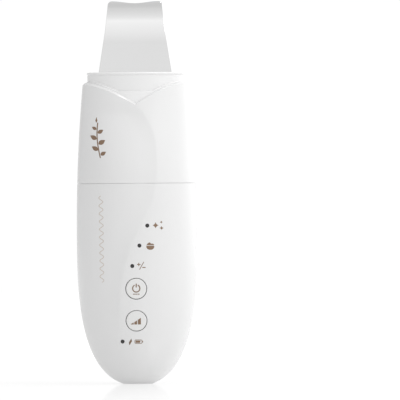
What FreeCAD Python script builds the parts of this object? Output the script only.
"""Ultrasonic skin scrubber: a standing handle with a removable bladed head on a twist-lock skirt.

Millimetres. The origin is the centre of the flat base, +Z runs up the body, and the buttons face -Y.
"""
import FreeCAD, Part
import math
import os

V = FreeCAD.Vector


def around(r, count, first_deg=0.0):
    """Centres of count places on a circle."""
    angles = [math.radians(first_deg + 360.0 * i / count) for i in range(count)]
    return [(r * math.cos(a), r * math.sin(a)) for a in angles]


# Body outline: a superellipse belly under MAX_Z, and a slow taper above it.
MAX_R = 26.25
MAX_Z = 66.0
BASE_LEAD = 0.88
BELLY_N = 3.07
BELLY_M = 2.27
TAPER = 0.00071
HANDLE_WALL = 1.8
SEAM_Z = 87.6
SEAM_GAP = 0.4

# Head: the round section flattens front to back towards the nozzle.
HEAD_Z0 = SEAM_Z + SEAM_GAP
HEAD_TOP = 132.1
HEAD_WALL = 1.6
FLATTEN = 0.20
NECK_X = 0.3
NECK_Z = 122.6
NECK_RISE = 9.5
NECK_SPAN = 23.5
NECK_BEND_LEFT = 1.35
NECK_BEND_RIGHT = 1.75

# Nozzle collar and its cap.
COLLAR_A = 21.1
COLLAR_B = 16.6
COLLAR_WALL = 1.4
COLLAR_Z0 = 118.0
COLLAR_STEP_Z = 129.0
LIP_Z = 135.8
RIM_TOP = 136.8
LIP_OUT = 0.2
LIP_ROUND = 0.45
CAP_Z = 134.2
CAP_T = 1.4

# Blade: a bent strip of sheet, tapered towards its tip.
BLADE_T = 0.9
TIP_Z = 167.8
BEND_Z = 149.0
BEND_R = 26.0
BEND_DEG = 35.0
ROOT_Z = 136.8
ROOT_HALF = 15.9
BEND_HALF = 13.15
BEND_HALF_Z = 155.1
TIP_HALF = 11.8
TIP_ROUND = 1.6
TIP_DIP = 0.9
TANG_HALF = 7.0
TANG_Z0 = 115.6
SHOULDER_Z = 126.0

# Ultrasonic transducer stack, from the bottom up.
STACK_R = 10.0
BACK_Z = 91.5
BACK_T = 8.0
PIEZO_T = 2.5
SHIM_T = 0.2
FLANGE_Z = 106.0
FLANGE_T = 2.0
FLANGE_R = 14.0
HORN_TOP = 121.0
HORN_NECK_Z = 114.5
CLAMP_SCREW_Z = 118.0
CLAMP_SCREW_X = (-4.0, 4.0)
JAW_HALF_X = 8.5
JAW_HALF_Y = 4.5
BOLT_R = 2.5
CARRIER_Z = 103.0
CARRIER_T = 2.0
CARRIER_R = 20.8
CUSHION_T = 1.0
CLAMP_Z = 110.0
CLAMP_SCREWS = around(16.3, 3, 90.0)
TAB_L = 1.1

# Twist-lock coupling.
SKIRT_R = 24.0
SKIRT_WALL = 2.0
SKIRT_DROP = 12.3
CUP_R = 24.2
CUP_WALL = 0.8
CUP_FLOOR_T = 1.8
CUP_FLOOR_Z = HEAD_Z0 - SKIRT_DROP - 0.3 - CUP_FLOOR_T
CUP_TOP = 87.0
SLOT_TOP = 7.7
SLOT_LEG = 4.1
SLOT_WIDTH = 7.4
SLOT_HEIGHT = 1.9
SLOT_MOUTH = 8.3
SLOT_CHAMFER = 1.8
SLOT_DEG = 4.0
LUG_WIDTH = 3.4
LUG_HEIGHT = 1.3
LUG_R = 22.4
RING_Z = 84.75
RING_T = 1.3
RING_R_IN = 23.3
RING_R_OUT = 24.12
GROOVE_R = 23.2
GROOVE_GAP = 0.12
SKIRT_FLOOR_Z = 84.4
SKIRT_FLOOR_T = 1.6
LEAD_HOLE_Y = 8.0
HEAD_SCREWS = around(17.0, 3, 30.0)
DECK_SCREWS = around(18.0, 3, 90.0)

# Spring contacts between handle and head.
PINS_AT = [(-4.5, 0.0), (-1.5, 0.0), (1.5, 0.0), (4.5, 0.0)]
PIN_R = 0.6
PIN_TIP_R = 0.4
PIN_TOP = 82.6
PIN_BARREL_TOP = 80.4
PIN_FOOT = CUP_FLOOR_Z - 1.5
PIN_BLOCK_TOP = 79.5
PIN_BLOCK_FOOT_TOP = 76.4

# Controls on the front, as (x, z) of their centres.
POWER_AT = (-0.25, 41.75)
INTENSITY_AT = (-0.25, 27.7)
BUTTON_R = 4.55
BUTTON_GAP = 0.4
BUTTON_DEPTH = 2.65
BUTTON_FLANGE_R = 5.5
BUTTON_FLANGE_T = 0.75
WINDOWS_AT = [(4.8, 69.3), (1.3, 60.6), (-1.9, 51.7), (-6.4, 18.7)]
WINDOW_R = 0.85

# Inside the handle.
BOARD_Y = -15.4
BOARD_T = 1.2
BOARD_Z0 = 17.5
BOARD_Z1 = 70.0
BOARD_HALF = 12.5
BOARD_FOOT_HALF = 9.0
SWITCH_H = 3.5
PLATE_Y = -12.4
PLATE_T = 1.6
CELL_R = 9.0
CELL_L = 50.0
CELL_Z = 17.5
CELL_Y = -1.0
DECK_T = 2.2
DECK_Z = CUP_FLOOR_Z - DECK_T - 0.05
CRADLE_TOP = 66.0
SCREW_R = 1.0
LEAD_R = 0.55
THIN_LEAD_R = 0.5
BOARD_SCREWS = [(-10.3, 33.0), (10.3, 33.0), (-10.3, 64.0), (10.3, 64.0)]
BEHIND_BOARD_Y = (BOARD_Y + BOARD_T + PLATE_Y) / 2   # leads end in the space between board and plate
PLATE_HALF = 15.3
DECK_R = 24.0
CRADLE_PLAY = 0.3
CRADLE_T = 1.2
CRADLE_FOOT_Z = 14.5
SOCKET_A = 8.94
SOCKET_B = 3.16
SOCKET_DEPTH = 7.3
SOCKET_MOUTH_Z = 0.4
PORT_CLEARANCE = 0.33
PLATE_PATCH_HALF = 6.5
PATCH_Z0 = 34.0
PATCH_Z1 = 70.0
PATCH_T = 0.8
STUD_R = 1.5
STUD_Y = 21.5

FULL = 60.0   # half-size of cutting blocks, larger than the part
SLIP = 0.05   # radial play between pieces that are assembled into each other


def belly_radius(z, inset=0.0):
    """Outer radius of the body at height z, drawn in by inset."""
    if z > MAX_Z:
        return MAX_R - inset - TAPER * (z - MAX_Z) ** 2
    t = (MAX_Z - z) / (MAX_Z + BASE_LEAD - inset)
    return (MAX_R - inset) * (1.0 - min(t, 1.0) ** BELLY_N) ** (1.0 / BELLY_M)


def belly_slope(z):
    step = 0.05
    return (belly_radius(z + step) - belly_radius(z - step)) / (2 * step)


def depth_ratio(z):
    """Depth over width of the head's section at height z."""
    t = min(max((z - HEAD_Z0) / (HEAD_TOP - HEAD_Z0), 0.0), 1.0)
    return 1.0 - FLATTEN * t * t * (3.0 - 2.0 * t)


def polygon(points):
    return Part.makePolygon(list(points) + [points[0]])


def block(x0, x1, y0, y1, z0, z1):
    return Part.makeBox(x1 - x0, y1 - y0, z1 - z0, V(x0, y0, z0))


def disc(r, z0, z1, x=0.0, y=0.0):
    return Part.makeCylinder(r, z1 - z0, V(x, y, z0))


def ring(r_in, r_out, z0, z1, x=0.0, y=0.0):
    return disc(r_out, z0, z1, x, y).cut(disc(r_in, z0 - 1, z1 + 1, x, y))


def rod_y(r, y0, y1, x, z):
    return Part.makeCylinder(r, y1 - y0, V(x, y0, z), V(0, 1, 0))


def turned(shape, degrees):
    copy = shape.copy()
    copy.rotate(V(0, 0, 0), V(0, 0, 1), degrees)
    return copy


def fused(shapes):
    result = shapes[0]
    for shape in shapes[1:]:
        result = result.fuse(shape)
    return result.removeSplitter()


def ellipse_wire(a, b, z):
    curve = Part.Ellipse(V(0, 0, z), a, b)
    return Part.Wire([curve.toShape()])


def oval(a, b, z0, z1):
    return Part.Face(ellipse_wire(a, b, z0)).extrude(V(0, 0, z1 - z0))


def obround(length, width, z0, z1, y=0.0):
    """Slot-shaped prism along X, centred on x = 0."""
    r = width / 2.0
    half = length / 2.0 - r
    middle = block(-half, half, y - r, y + r, z0, z1)
    return fused([middle, disc(r, z0, z1, -half, y), disc(r, z0, z1, half, y)])


def belly_curve(z0, z1, inset=0.0):
    """Edge along the body's outline between two heights, with its end points."""
    count = 16
    heights = [z0 + (z1 - z0) * (i / count) ** 1.8 for i in range(count + 1)]
    points = [V(belly_radius(z, inset), 0, z) for z in heights]
    curve = Part.BSplineCurve()
    curve.interpolate(points)
    return curve.toShape(), points[0], points[-1]


def belly_solid(z0, z1, inset=0.0):
    """Solid of revolution under the body's outline between two heights."""
    side, low, high = belly_curve(z0, z1, inset)
    foot = Part.makePolygon([high, V(0, 0, z1), V(0, 0, z0), low])
    face = Part.Face(Part.Wire([side] + foot.Edges))
    return face.revolve(V(0, 0, 0), V(0, 0, 1), 360)


def head_solid(z0, z1, inset=0.0):
    """Loft through the head's flattening oval sections."""
    count = 8
    wires = []
    for i in range(count + 1):
        z = z0 + (z1 - z0) * i / count
        r = belly_radius(z)
        wires.append(ellipse_wire(r - inset, r * depth_ratio(z) - inset - 1e-4, z))
    return Part.makeLoft(wires, True, False)


def neck_height(x):
    """Height of the shell's V-shaped front edge at x."""
    bend = NECK_BEND_LEFT if x < NECK_X else NECK_BEND_RIGHT
    reach = min(abs(x - NECK_X) / NECK_SPAN, 1.0)
    return NECK_Z + NECK_RISE * (1.0 - (1.0 - reach) ** bend)


def neck_cutter():
    """Prism above the V-shaped front edge, on the front half only."""
    edges = []
    for side in (-1, 1):
        xs = [NECK_X + side * NECK_SPAN * i / 6 for i in range(7)]
        curve = Part.BSplineCurve()
        curve.interpolate([V(x, -1.0, neck_height(x)) for x in xs])
        edges.append(curve.toShape())
    left = V(NECK_X - NECK_SPAN, -1.0, neck_height(NECK_X - NECK_SPAN))
    right = V(NECK_X + NECK_SPAN, -1.0, neck_height(NECK_X + NECK_SPAN))
    top = Part.makePolygon([left, V(left.x, -1, 150), V(right.x, -1, 150), right])
    face = Part.Face(Part.Wire(Part.sortEdges(edges + top.Edges)[0]))
    return face.extrude(V(0, -FULL, 0))


def on_front(shape, at):
    """Moves a shape modelled outwards along +Z from the origin onto the front surface."""
    x, z = at
    r = belly_radius(z)
    y = -math.sqrt(r * r - x * x)
    tilt = math.degrees(math.atan(belly_slope(z)))
    copy = shape.copy()
    copy.rotate(V(0, 0, 0), V(1, 0, 0), 90.0 + tilt)
    copy.translate(V(x, y, z))
    return copy


def lead(points, r):
    """Insulated wire along straight runs that are joined by tangent arcs."""
    edges = []
    start = points[0]
    for before, corner, after in zip(points, points[1:], points[2:]):
        run_in = (before - corner)
        run_out = (after - corner)
        reach = 0.45 * min(run_in.Length, run_out.Length)
        a = corner + run_in.normalize() * reach
        b = corner + run_out.normalize() * reach
        half = run_in.getAngle(run_out) / 2.0
        to_centre = (run_in + run_out).normalize()
        radius = reach * math.tan(half)
        middle = corner + to_centre * (reach / math.cos(half) - radius)
        edges.append(Part.LineSegment(start, a).toShape())
        edges.append(Part.Arc(a, middle, b).toShape())
        start = b
    edges.append(Part.LineSegment(start, points[-1]).toShape())
    path = Part.Wire(edges)
    heading = (points[1] - points[0]).normalize()
    section = Part.Wire([Part.Circle(points[0], heading, r).toShape()])
    return path.makePipeShell([section], True, False)


def screw_y(x, z, head_y, length, toward=1):
    """Pan-head screw along Y. Its head's seat is at head_y and its shank points toward."""
    shank = Part.makeCylinder(SCREW_R, length, V(x, head_y, z), V(0, toward, 0))
    head = Part.makeCylinder(SCREW_R * 1.8, 1.2, V(x, head_y, z), V(0, -toward, 0))
    socket = Part.makeCylinder(SCREW_R * 0.6, 0.7, V(x, head_y - toward * 1.2, z), V(0, toward, 0))
    return shank.fuse(head).cut(socket)


def screw_z(x, y, seat_z, length, toward=1):
    """Pan-head screw along Z. Its head's seat is at seat_z and its shank points toward."""
    shank = Part.makeCylinder(SCREW_R, length, V(x, y, seat_z), V(0, 0, toward))
    head = Part.makeCylinder(SCREW_R * 1.8, 1.2, V(x, y, seat_z), V(0, 0, -toward))
    socket = Part.makeCylinder(SCREW_R * 0.6, 0.7, V(x, y, seat_z - toward * 1.2), V(0, 0, toward))
    return shank.fuse(head).cut(socket)


# ---------------------------------------------------------------- handle shells

def half_tube(sweep):
    """Half of the handle's hollow shell, with a wider seat for the coupling cup at its mouth."""
    seat_r = CUP_R + CUP_WALL + SLIP
    seat_z = CUP_FLOOR_Z - SLIP
    outer, base_edge, rim_edge = belly_curve(0.0, SEAM_Z)
    inner, floor_edge, ledge = belly_curve(HANDLE_WALL, seat_z, HANDLE_WALL)
    rim = Part.makePolygon([rim_edge, V(seat_r, 0, SEAM_Z), V(seat_r, 0, seat_z), ledge])
    base = Part.makePolygon([floor_edge, V(0, 0, HANDLE_WALL), V(0, 0, 0), base_edge])
    face = Part.Face(Part.Wire(Part.sortEdges([outer, inner] + rim.Edges + base.Edges)[0]))
    return face.revolve(V(0, 0, 0), V(0, 0, 1), sweep).cut(port_hole())


def port_hole():
    clear = 2 * PORT_CLEARANCE
    return obround(SOCKET_A + clear, SOCKET_B + clear, -1, HANDLE_WALL + 2)


def patch_prism():
    """Tall rounded prism behind the body that outlines the hand plate."""
    half = PLATE_PATCH_HALF
    z0 = PATCH_Z0 + half
    z1 = PATCH_Z1 - half
    middle = block(-half, half, 5, FULL, z0, z1)
    return fused([middle, rod_y(half, 5, FULL, 0, z0), rod_y(half, 5, FULL, 0, z1)])


def hand_plate_skin():
    low, high = PATCH_Z0 - 4, PATCH_Z1 + 4
    return belly_solid(low, high).common(patch_prism()).cut(belly_solid(low - 1, high + 1, PATCH_T))


def front_shell():
    shell = half_tube(-180)
    hole = Part.makeCylinder(BUTTON_R + BUTTON_GAP, 12, V(0, 0, -8))
    for at in (POWER_AT, INTENSITY_AT):
        shell = shell.cut(on_front(hole, at))
    for x, z in WINDOWS_AT:
        shell = shell.cut(rod_y(WINDOW_R + SLIP, -FULL, -5, x, z))
    return shell


def rear_shell():
    shell = half_tube(180)
    shell = shell.cut(patch_prism().cut(belly_solid(PATCH_Z0 - 4, PATCH_Z1 + 4, PATCH_T)))
    return shell.cut(rod_y(STUD_R + SLIP, 10, FULL, 0, (PATCH_Z0 + PATCH_Z1) / 2))


def hand_electrode():
    stud_z = (PATCH_Z0 + PATCH_Z1) / 2
    stud = rod_y(STUD_R, STUD_Y, belly_radius(stud_z) - 0.4, 0, stud_z)
    return hand_plate_skin().fuse(stud)


# ---------------------------------------------------------------- controls

def button():
    """Cap and retaining flange, modelled outwards along +Z; the cap is trimmed to the body later."""
    cap = Part.makeCylinder(BUTTON_R, BUTTON_DEPTH + 2, V(0, 0, -BUTTON_DEPTH))
    flange = Part.makeCylinder(BUTTON_FLANGE_R, BUTTON_FLANGE_T, V(0, 0, -BUTTON_DEPTH - BUTTON_FLANGE_T))
    return cap.fuse(flange)


def placed_button(at):
    _, z = at
    return on_front(button(), at).common(belly_solid(z - 12, z + 12))


def dome(at):
    """Silicone dome between a button's flange and its switch."""
    _, z = at
    top = BUTTON_DEPTH + BUTTON_FLANGE_T
    length = belly_radius(z) + BOARD_Y - top - SWITCH_H
    outer = Part.makeCone(2.6, 1.7, length, V(0, 0, -top - length))
    inner = Part.makeCylinder(1.0, length * 0.5, V(0, 0, -top - length))
    return on_front(outer.cut(inner), at).cut(block(-FULL, FULL, BOARD_Y - SWITCH_H, FULL, -1, 100))


def button_switches():
    bodies = []
    for x, z in (POWER_AT, INTENSITY_AT):
        body = block(x - 3, x + 3, BOARD_Y - SWITCH_H + 0.6, BOARD_Y, z - 3, z + 3)
        plunger = rod_y(1.6, BOARD_Y - SWITCH_H, BOARD_Y - 1, x, z)
        bodies.append(body.fuse(plunger))
    return Part.makeCompound(bodies)


def status_windows():
    """Tinted light guides from the LEDs out to the body's surface."""
    skin = belly_solid(0.0, SEAM_Z)
    rods = []
    for x, z in WINDOWS_AT:
        rods.append(rod_y(WINDOW_R, -FULL, BOARD_Y - 0.9, x, z).common(skin))
    return Part.makeCompound(rods)


def status_leds():
    chips = [block(x - 0.8, x + 0.8, BOARD_Y - 0.8, BOARD_Y, z - 0.4, z + 0.4) for x, z in WINDOWS_AT]
    return Part.makeCompound(chips)


# ---------------------------------------------------------------- inside the handle

def main_board():
    outline = [
        V(-BOARD_FOOT_HALF, BOARD_Y, BOARD_Z0), V(BOARD_FOOT_HALF, BOARD_Y, BOARD_Z0),
        V(BOARD_HALF, BOARD_Y, BOARD_Z0 + 9), V(BOARD_HALF, BOARD_Y, BOARD_Z1),
        V(-BOARD_HALF, BOARD_Y, BOARD_Z1), V(-BOARD_HALF, BOARD_Y, BOARD_Z0 + 9),
    ]
    board = Part.Face(polygon(outline)).extrude(V(0, BOARD_T, 0))
    for x, z in BOARD_SCREWS:
        board = board.cut(rod_y(SCREW_R + SLIP, BOARD_Y - 1, BOARD_Y + 3, x, z))
    return board


def board_parts():
    """Controller, drive transformer, coil and capacitors on the board's front."""
    face = BOARD_Y
    controller = block(-10.5, -5.5, face - 1.0, face, 44, 49)
    driver = block(5.5, 10.5, face - 1.0, face, 38, 43)
    transformer = block(-10.8, -4.8, face - 5.0, face, 53, 61)
    coil = rod_y(2.6, face - 3.0, face, 8.2, 52.0)
    capacitors = [rod_y(1.5, face - 4.0, face, x, 31.5 - 5.0) for x in (-7.5, 7.5)]
    return Part.makeCompound([controller, driver, transformer, coil] + capacitors)


def chassis():
    """Plate with a half-round battery cradle, a deck for the coupling cup and posts for the board."""
    back = PLATE_Y + PLATE_T
    plate = block(-PLATE_HALF, PLATE_HALF, PLATE_Y, back, 13.0, DECK_Z + 0.5)
    plate = plate.cut(block(-8, 8, PLATE_Y - 1, back + 1, CRADLE_TOP + 1, DECK_Z))
    bed_r = CELL_R + CRADLE_PLAY
    foot_top = CRADLE_FOOT_Z + CRADLE_T
    cradle = ring(bed_r, bed_r + CRADLE_T, CRADLE_FOOT_Z, CRADLE_TOP, 0, CELL_Y)
    cradle = cradle.common(block(-FULL, FULL, PLATE_Y, CELL_Y, 0, 100))
    stop_low = disc(bed_r + CRADLE_T, CRADLE_FOOT_Z, foot_top, 0, CELL_Y)
    stop_low = stop_low.common(block(-FULL, FULL, PLATE_Y, CELL_Y + 4, 0, 100))
    deck = disc(DECK_R, DECK_Z, DECK_Z + DECK_T).cut(block(-9, 9, -9.5, 9.5, 60, 80))
    posts = [rod_y(2.0, BOARD_Y + BOARD_T, PLATE_Y + 0.2, x, z) for x, z in BOARD_SCREWS]
    body = fused([plate, cradle, stop_low, deck] + posts)
    body = body.cut(disc(bed_r, foot_top, DECK_Z, 0, CELL_Y))
    body = body.common(belly_solid(HANDLE_WALL, CUP_FLOOR_Z, HANDLE_WALL + 0.2))
    for x, z in BOARD_SCREWS:
        body = body.cut(rod_y(SCREW_R + SLIP, BOARD_Y, PLATE_Y + PLATE_T + 1, x, z))
    for x, y in DECK_SCREWS:
        body = body.cut(disc(SCREW_R + SLIP, DECK_Z - 1, DECK_Z + DECK_T + 1, x, y))
    return body


def board_screws():
    return Part.makeCompound([screw_y(x, z, BOARD_Y, 4.2) for x, z in BOARD_SCREWS])


def battery_cell():
    body = disc(CELL_R, CELL_Z, CELL_Z + CELL_L, 0, CELL_Y)
    rim = body.Edges
    circles = [e for e in rim if isinstance(e.Curve, Part.Circle)]
    body = body.makeFillet(0.8, circles)
    cap = disc(3.0, CELL_Z + CELL_L, CELL_Z + CELL_L + 0.6, 0, CELL_Y)
    return body.fuse(cap)


def battery_tabs():
    low = block(-2.5, 2.5, CELL_Y - 4, CELL_Y + 7.5, CELL_Z - 0.25, CELL_Z)
    top_z = CELL_Z + CELL_L + 0.6
    high = block(-2.5, 2.5, CELL_Y - 2.5, CELL_Y + 7.5, top_z, top_z + 0.25)
    return Part.makeCompound([low, high])


def battery_cushions():
    """Foam pads that wedge the cell at its foot and behind it."""
    foot = disc(7.0, CRADLE_FOOT_Z + CRADLE_T, CELL_Z - 0.25, 0, CELL_Y)
    foot = foot.common(block(-FULL, FULL, PLATE_Y, CELL_Y + 4, 0, 100))
    strips = []
    for z in (30.0, 55.0):
        band = ring(CELL_R, CELL_R + 1.2, z, z + 6, 0, CELL_Y)
        strips.append(band.common(block(-7, 7, CELL_Y + 2, FULL, 0, 100)))
    return Part.makeCompound([foot] + strips)


def charging_socket():
    top = SOCKET_MOUTH_Z + SOCKET_DEPTH
    shell = obround(SOCKET_A, SOCKET_B, SOCKET_MOUTH_Z, top)
    return shell.cut(obround(SOCKET_A - 0.6, SOCKET_B - 0.6, SOCKET_MOUTH_Z - 1, top - 0.3))


def socket_tongue():
    top = SOCKET_MOUTH_Z + SOCKET_DEPTH - 0.3
    base = obround(SOCKET_A - 0.7, SOCKET_B - 0.7, top - 2.0, top)
    tongue = block(-3.35, 3.35, -0.35, 0.35, SOCKET_MOUTH_Z + 0.9, top - 1.5)
    return base.fuse(tongue)


def charge_board():
    y0 = SOCKET_B / 2
    board = block(-7.0, 7.0, y0, y0 + 1.0, 4.2, 13.5)
    return board.common(belly_solid(HANDLE_WALL, 40, HANDLE_WALL + 0.2))


def both_sides(points, r):
    """The same lead on the left and on the right."""
    right = lead(points, r)
    left = lead([V(-p.x, p.y, p.z) for p in points], r)
    return Part.makeCompound([left, right])


def battery_leads():
    z = CELL_Z + CELL_L + 1.5
    return both_sides([V(2, 4, z), V(8, 9.5, z), V(14, 9.5, 60), V(17.3, -4, 52),
                       V(17.3, BEHIND_BOARD_Y, 50), V(11, BEHIND_BOARD_Y, 50)], LEAD_R)


def charge_leads():
    back = SOCKET_B / 2 + 1.05
    return both_sides([V(4.5, back, 11), V(4.5, 7, 11.5), V(11.5, 7.5, 20), V(17, -3, 27),
                       V(16.8, BEHIND_BOARD_Y, 30), V(11, BEHIND_BOARD_Y, 30)], LEAD_R)


def electrode_lead():
    z = (PATCH_Z0 + PATCH_Z1) / 2
    return lead([V(0, 21.4, z), V(0, 17, z), V(-10, 13, 46), V(-17.3, -3, 38),
                 V(-17.3, BEHIND_BOARD_Y, 36), V(-11, BEHIND_BOARD_Y, 36)], THIN_LEAD_R)


# ---------------------------------------------------------------- twist-lock coupling

def arc_block(r_in, r_out, z0, z1, from_deg, to_deg):
    """Piece of a ring between two azimuths, counted from the front towards +X."""
    start = math.radians(from_deg)
    sweep = to_deg - from_deg
    face = Part.Face(polygon([
        V(r_in * math.sin(start), -r_in * math.cos(start), z0),
        V(r_out * math.sin(start), -r_out * math.cos(start), z0),
        V(r_out * math.sin(start), -r_out * math.cos(start), z1),
        V(r_in * math.sin(start), -r_in * math.cos(start), z1),
    ]))
    return face.revolve(V(0, 0, 0), V(0, 0, 1), sweep)


def width_deg(width):
    return math.degrees(width / SKIRT_R)


def coupling_cup():
    z0 = CUP_FLOOR_Z
    wall = ring(CUP_R, CUP_R + CUP_WALL, z0, CUP_TOP)
    floor = disc(CUP_R + CUP_WALL, z0, z0 + CUP_FLOOR_T).cut(block(-6, 6, -4, 4, z0 - 1, z0 + 4))
    slot_top_z = HEAD_Z0 - SKIRT_DROP + SLOT_TOP
    lug_z = slot_top_z - (SLOT_HEIGHT + LUG_HEIGHT) / 2
    half = width_deg(LUG_WIDTH) / 2
    lug = arc_block(LUG_R, CUP_R + 0.3, lug_z, lug_z + LUG_HEIGHT, SLOT_DEG - half, SLOT_DEG + half)
    cup = fused([wall, floor, lug, turned(lug, 180)])
    for x, y in DECK_SCREWS:
        cup = cup.cut(disc(SCREW_R + SLIP, z0 - 1, z0 + 4, x, y))
    return cup


def cup_screws():
    seat = CUP_FLOOR_Z + CUP_FLOOR_T
    return Part.makeCompound([screw_z(x, y, seat, 4.0, -1) for x, y in DECK_SCREWS])


def pin_block():
    z0 = CUP_FLOOR_Z - 0.3
    post = block(-5.9, 5.9, -3.9, 3.9, z0, PIN_BLOCK_TOP)
    foot = block(-7.5, 7.5, -5.5, 5.5, CUP_FLOOR_Z + CUP_FLOOR_T, PIN_BLOCK_FOOT_TOP)
    body = fused([post, foot])
    for x, y in PINS_AT:
        body = body.cut(disc(PIN_R + SLIP, z0 - 1, 81, x, y))
    return body


def contact_pins():
    pins = []
    for x, y in PINS_AT:
        barrel = disc(PIN_R, PIN_FOOT, PIN_BARREL_TOP, x, y)
        tip = disc(PIN_TIP_R, PIN_BARREL_TOP - 0.4, PIN_TOP - PIN_TIP_R, x, y)
        nose = Part.makeSphere(PIN_TIP_R, V(x, y, PIN_TOP - PIN_TIP_R))
        pins.append(fused([barrel, tip, nose]))
    return Part.makeCompound(pins)


def pin_leads():
    z = DECK_Z - 1.2
    return both_sides([V(PINS_AT[3][0], 0, PIN_FOOT), V(4.5, 0, z), V(4.8, -6, z - 0.2),
                       V(5, BEHIND_BOARD_Y, z - 0.8), V(5, BEHIND_BOARD_Y, 65)], THIN_LEAD_R)


def seal_ring():
    body = ring(RING_R_IN, RING_R_OUT, RING_Z, RING_Z + RING_T)
    return body.makeFillet(0.25, [e for e in body.Edges if isinstance(e.Curve, Part.Circle)])


def j_slot():
    """Entry leg, locking leg and lead-in chamfers of one twist-lock slot, through the skirt's wall."""
    z0 = HEAD_Z0 - SKIRT_DROP
    r0 = SKIRT_R - SKIRT_WALL - 1
    r1 = SKIRT_R + 1
    half = width_deg(SLOT_LEG) / 2
    left = SLOT_DEG + half - width_deg(SLOT_WIDTH)
    top = z0 + SLOT_TOP
    entry = arc_block(r0, r1, z0 - 1, top, SLOT_DEG - half, SLOT_DEG + half)
    lock = arc_block(r0, r1, top - SLOT_HEIGHT, top, left, SLOT_DEG)
    mouth_half = SLOT_MOUTH / 2
    profile = [
        V(-mouth_half, 0, z0 - 1), V(mouth_half, 0, z0 - 1), V(mouth_half, 0, z0),
        V(SLOT_LEG / 2, 0, z0 + SLOT_CHAMFER), V(-SLOT_LEG / 2, 0, z0 + SLOT_CHAMFER),
        V(-mouth_half, 0, z0),
    ]
    mouth = Part.Face(polygon(profile)).extrude(V(0, -4, 0))
    mouth.translate(V(0, -r0, 0))
    return fused([entry, lock, turned(mouth, SLOT_DEG)])


def coupling_skirt():
    z0 = HEAD_Z0 - SKIRT_DROP
    r_in = SKIRT_R - SKIRT_WALL
    lower = ring(r_in, SKIRT_R, z0, HEAD_Z0 + 0.3)
    upper = ring(r_in, SKIRT_R - 0.7, HEAD_Z0, HEAD_Z0 + 5.5)
    floor = disc(r_in + 0.5, SKIRT_FLOOR_Z, SKIRT_FLOOR_Z + SKIRT_FLOOR_T)
    for y in (-LEAD_HOLE_Y, LEAD_HOLE_Y):
        floor = floor.cut(disc(0.8, 80, 90, 0, y))
    skirt = fused([lower, upper, floor])
    skirt = skirt.cut(ring(GROOVE_R, SKIRT_R + 1, RING_Z - GROOVE_GAP, RING_Z + RING_T + GROOVE_GAP))
    slot = j_slot()
    skirt = skirt.cut(slot).cut(turned(slot, 180))
    for x, y in HEAD_SCREWS:
        skirt = skirt.cut(disc(SCREW_R + SLIP, 80, 90, x, y))
    return skirt


def head_screws():
    return Part.makeCompound([screw_z(x, y, SKIRT_FLOOR_Z, 8.0, 1) for x, y in HEAD_SCREWS])


def contact_board():
    return disc(13.0, SKIRT_FLOOR_Z - 1.2, SKIRT_FLOOR_Z)


def contact_pads():
    z1 = SKIRT_FLOOR_Z - 1.2
    pads = []
    for x, y in PINS_AT:
        pads.append(block(x - 1.2, x + 1.2, y - 3.0, y + 3.0, z1 - 0.25, z1))
    return Part.makeCompound(pads)


# ---------------------------------------------------------------- inside the head

def transducer_carrier():
    disc_part = disc(CARRIER_R, CARRIER_Z, CARRIER_Z + CARRIER_T).cut(disc(STACK_R + 1.4, 90, 120))
    posts = [disc(3.0, SKIRT_FLOOR_Z + SKIRT_FLOOR_T, CARRIER_Z + 0.5, x, y) for x, y in HEAD_SCREWS]
    body = fused([disc_part] + posts)
    for x, y in HEAD_SCREWS:
        body = body.cut(disc(SCREW_R + SLIP, SKIRT_FLOOR_Z, SKIRT_FLOOR_Z + 10, x, y))
    for x, y in CLAMP_SCREWS:
        body = body.cut(disc(SCREW_R + SLIP, CARRIER_Z - 1, CARRIER_Z + 4, x, y))
    return body


def transducer_clamp():
    wall = ring(FLANGE_R + 0.2, FLANGE_R + 4.4, CARRIER_Z + CARRIER_T, CLAMP_Z)
    lip = ring(STACK_R + 1.9, FLANGE_R + 4.4, FLANGE_Z + FLANGE_T + CUSHION_T, CLAMP_Z)
    body = fused([wall, lip])
    for x, y in CLAMP_SCREWS:
        body = body.cut(disc(SCREW_R + SLIP, CARRIER_Z, CLAMP_Z + 1, x, y))
    return body


def clamp_screws():
    return Part.makeCompound([screw_z(x, y, CLAMP_Z, 6.5, -1) for x, y in CLAMP_SCREWS])


def isolation_rings():
    low = ring(STACK_R + 1.9, FLANGE_R, FLANGE_Z - CUSHION_T, FLANGE_Z)
    high = ring(STACK_R + 1.9, FLANGE_R, FLANGE_Z + FLANGE_T, FLANGE_Z + FLANGE_T + CUSHION_T)
    return Part.makeCompound([low, high])


def piezo_base():
    return BACK_Z + BACK_T


def backing_mass():
    body = disc(STACK_R, BACK_Z, piezo_base())
    return body.cut(disc(BOLT_R + SLIP, 80, 110))


def piezo_rings():
    z = piezo_base()
    low = ring(BOLT_R + 0.6, STACK_R, z, z + PIEZO_T)
    high = ring(BOLT_R + 0.6, STACK_R, z + PIEZO_T + SHIM_T, z + 2 * PIEZO_T + SHIM_T)
    return Part.makeCompound([low, high])


def electrode_shims():
    """Thin brass discs with a solder tab, between and above the piezo rings."""
    z = piezo_base() + PIEZO_T
    shims = []
    for i, turn in enumerate((0, 180)):
        z_low = z + i * (PIEZO_T + SHIM_T)
        tab = block(-1.2, 1.2, STACK_R - 1, STACK_R + TAB_L, z_low, z_low + SHIM_T)
        shim = fused([disc(STACK_R, z_low, z_low + SHIM_T), turned(tab, turn)])
        shims.append(shim.cut(disc(BOLT_R + 0.6, 80, 130)))
    return Part.makeCompound(shims)


def horn_base():
    return piezo_base() + 2 * (PIEZO_T + SHIM_T)


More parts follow.
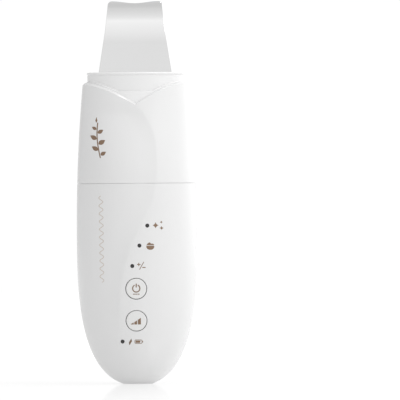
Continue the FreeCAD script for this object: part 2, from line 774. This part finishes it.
def transducer_horn():
    z0 = horn_base()
    body = disc(STACK_R, z0, FLANGE_Z + 0.1)
    flange = disc(FLANGE_R, FLANGE_Z, FLANGE_Z + FLANGE_T)
    barrel = disc(STACK_R + 1.4, FLANGE_Z + FLANGE_T, HORN_NECK_Z)
    jaw = block(-JAW_HALF_X, JAW_HALF_X, -JAW_HALF_Y, JAW_HALF_Y, HORN_NECK_Z, HORN_TOP)
    horn = fused([body, flange, barrel, jaw])
    tang_play = BLADE_T / 2 + SLIP
    horn = horn.cut(block(-FULL, FULL, -tang_play, tang_play, TANG_Z0 - 0.1, HORN_TOP + 1))
    horn = horn.cut(disc(BOLT_R + SLIP, 80, 112))
    for x in CLAMP_SCREW_X:
        horn = horn.cut(rod_y(SCREW_R + SLIP, -FULL, FULL, x, CLAMP_SCREW_Z))
    return horn


def transducer_bolt():
    shank = disc(BOLT_R, BACK_Z - 1, 111.5)
    head = disc(4.3, BACK_Z - 4.0, BACK_Z)
    return fused([shank, head]).cut(disc(1.6, BACK_Z - 5, BACK_Z - 1.6))


def blade_screws():
    screws = [screw_y(x, CLAMP_SCREW_Z, -JAW_HALF_Y, 8.4) for x in CLAMP_SCREW_X]
    return Part.makeCompound(screws)


def head_leads():
    """Two leads from the contact board to the piezo stack's solder tabs."""
    z = piezo_base() + PIEZO_T
    tab_y = STACK_R + 0.65
    leads = []
    for side, end_z in ((1, z), (-1, z + PIEZO_T + SHIM_T)):
        route = [(LEAD_HOLE_Y, SKIRT_FLOOR_Z), (LEAD_HOLE_Y, 88.5), (tab_y + 1, 93), (tab_y, 98), (tab_y, end_z)]
        leads.append(lead([V(0, side * y, z_at) for y, z_at in route], 0.4))
    return Part.makeCompound(leads)


# ---------------------------------------------------------------- head shell, nozzle and blade

def head_shell():
    outer = head_solid(HEAD_Z0, HEAD_TOP)
    inner = head_solid(HEAD_Z0 - 1, HEAD_TOP + 1, HEAD_WALL)
    return outer.cut(inner).cut(neck_cutter())


def nozzle_collar():
    foot = head_solid(COLLAR_Z0, COLLAR_STEP_Z, HEAD_WALL + SLIP)
    throat = oval(COLLAR_A, COLLAR_B, COLLAR_STEP_Z - 1, LIP_Z + 0.2)
    lip = oval(COLLAR_A + LIP_OUT, COLLAR_B + LIP_OUT, LIP_Z, RIM_TOP)
    lip = lip.makeFillet(LIP_ROUND, [e for e in lip.Edges if e.BoundBox.ZMin > LIP_Z + 0.5])
    body = fused([foot, throat, lip])
    bore = oval(COLLAR_A - COLLAR_WALL, COLLAR_B - COLLAR_WALL, COLLAR_Z0 - 1, RIM_TOP + 1)
    return body.cut(bore)


def nozzle_cap():
    play = COLLAR_WALL + SLIP
    cap = oval(COLLAR_A - play, COLLAR_B - play, CAP_Z, CAP_Z + CAP_T)
    return cap.cut(obround(2 * ROOT_HALF + 4.0, 4.0, CAP_Z - 1, CAP_Z + 4))


def blade_seal():
    body = obround(2 * ROOT_HALF + 4.0 - 2 * SLIP, 4.0 - 2 * SLIP, CAP_Z - 0.6, CAP_Z + CAP_T + 0.5)
    play = 0.12
    slot_half = blade_half_width(CAP_Z - 0.6) + play
    return body.cut(block(-slot_half, slot_half, -BLADE_T / 2 - SLIP, BLADE_T / 2 + SLIP, 120, 150))


def blade_half_width(z):
    """Half-width of the blade where it tapers above the tang."""
    if z < BEND_HALF_Z:
        return ROOT_HALF + (BEND_HALF - ROOT_HALF) * (z - ROOT_Z) / (BEND_HALF_Z - ROOT_Z)
    return BEND_HALF + (TIP_HALF - BEND_HALF) * (z - BEND_HALF_Z) / (TIP_Z - BEND_HALF_Z)


def blade_strip():
    """The blade's side profile, swept across its width."""
    bend = math.radians(BEND_DEG)
    half = BLADE_T / 2
    centre = V(0, BEND_R, BEND_Z)
    tip_len = (TIP_Z + 2 - BEND_Z - BEND_R * math.sin(bend)) / math.cos(bend)

    def on_bend(angle, r):
        return centre + V(0, -r * math.cos(angle), r * math.sin(angle))

    direction = V(0, math.sin(bend), math.cos(bend))
    edges = []
    for r in (BEND_R - half, BEND_R + half):
        low = V(0, BEND_R - r, TANG_Z0)
        edges.append(Part.LineSegment(low, on_bend(0, r)).toShape())
        edges.append(Part.Arc(on_bend(0, r), on_bend(bend / 2, r), on_bend(bend, r)).toShape())
        edges.append(Part.LineSegment(on_bend(bend, r), on_bend(bend, r) + direction * tip_len).toShape())
    ends = [(V(0, -half, TANG_Z0), V(0, half, TANG_Z0))]
    ends.append(tuple(on_bend(bend, r) + direction * tip_len for r in (BEND_R - half, BEND_R + half)))
    edges += [Part.LineSegment(a, b).toShape() for a, b in ends]
    face = Part.Face(Part.Wire(Part.sortEdges(edges)[0]))
    face.translate(V(-20, 0, 0))
    return face.extrude(V(40, 0, 0))


def blade_outline():
    """The blade's front view as a prism: tang, shoulders, taper and a rounded, slightly hollow tip."""
    shoulder_top = SHOULDER_Z + 4
    side = [
        V(TANG_HALF, 0, TANG_Z0 - 1), V(TANG_HALF, 0, SHOULDER_Z - 1.5),
        V(blade_half_width(shoulder_top), 0, shoulder_top),
        V(BEND_HALF, 0, BEND_HALF_Z), V(TIP_HALF, 0, TIP_Z - TIP_ROUND),
    ]
    edges = []
    for sign in (-1, 1):
        points = [V(sign * p.x, 0, p.z) for p in side]
        edges += Part.makePolygon(points).Edges
        corner_mid = V(sign * (TIP_HALF - 0.29 * TIP_ROUND), 0, TIP_Z - 0.29 * TIP_ROUND)
        corner_end = V(sign * (TIP_HALF - TIP_ROUND), 0, TIP_Z)
        edges.append(Part.Arc(points[-1], corner_mid, corner_end).toShape())
    left = V(-(TIP_HALF - TIP_ROUND), 0, TIP_Z)
    right = V(TIP_HALF - TIP_ROUND, 0, TIP_Z)
    edges.append(Part.Arc(left, V(0, 0, TIP_Z - TIP_DIP), right).toShape())
    edges.append(Part.LineSegment(V(-TANG_HALF, 0, TANG_Z0 - 1), V(TANG_HALF, 0, TANG_Z0 - 1)).toShape())
    face = Part.Face(Part.Wire(Part.sortEdges(edges)[0]))
    face.translate(V(0, -FULL, 0))
    return face.extrude(V(0, 2 * FULL, 0))


def blade():
    sheet = blade_strip().common(blade_outline())
    for x in CLAMP_SCREW_X:
        sheet = sheet.cut(rod_y(SCREW_R + SLIP, -5, 5, x, CLAMP_SCREW_Z))
    return sheet


NODES = {
    "front_shell": front_shell,
    "rear_shell": rear_shell,
    "hand_electrode": hand_electrode,
    "power_button": lambda: placed_button(POWER_AT),
    "intensity_button": lambda: placed_button(INTENSITY_AT),
    "power_dome": lambda: dome(POWER_AT),
    "intensity_dome": lambda: dome(INTENSITY_AT),
    "button_switches": button_switches,
    "status_windows": status_windows,
    "status_leds": status_leds,
    "main_board": main_board,
    "board_parts": board_parts,
    "board_screws": board_screws,
    "chassis": chassis,
    "battery_cell": battery_cell,
    "battery_tabs": battery_tabs,
    "battery_cushions": battery_cushions,
    "battery_leads": battery_leads,
    "charging_socket": charging_socket,
    "socket_tongue": socket_tongue,
    "charge_board": charge_board,
    "charge_leads": charge_leads,
    "electrode_lead": electrode_lead,
    "coupling_cup": coupling_cup,
    "cup_screws": cup_screws,
    "pin_block": pin_block,
    "contact_pins": contact_pins,
    "pin_leads": pin_leads,
    "seal_ring": seal_ring,
    "coupling_skirt": coupling_skirt,
    "head_screws": head_screws,
    "contact_board": contact_board,
    "contact_pads": contact_pads,
    "transducer_carrier": transducer_carrier,
    "transducer_clamp": transducer_clamp,
    "clamp_screws": clamp_screws,
    "isolation_rings": isolation_rings,
    "backing_mass": backing_mass,
    "piezo_rings": piezo_rings,
    "electrode_shims": electrode_shims,
    "transducer_horn": transducer_horn,
    "transducer_bolt": transducer_bolt,
    "head_leads": head_leads,
    "head_shell": head_shell,
    "nozzle_collar": nozzle_collar,
    "nozzle_cap": nozzle_cap,
    "blade_seal": blade_seal,
    "blade_screws": blade_screws,
    "blade": blade,
}


def main():
    os.makedirs("parts", exist_ok=True)
    for name, make in NODES.items():
        shape = make()
        solids = shape.Solids
        valid = shape.isValid()
        box = shape.BoundBox
        print(f"{name:20s} solids {len(solids):2d} valid {valid} volume {shape.Volume:9.1f}")
        print(f"    x {box.XMin:.2f} {box.XMax:.2f} y {box.YMin:.2f} {box.YMax:.2f}")
        print(f"    z {box.ZMin:.2f} {box.ZMax:.2f}")
        shape.exportStep(f"parts/{name}.step")


main()
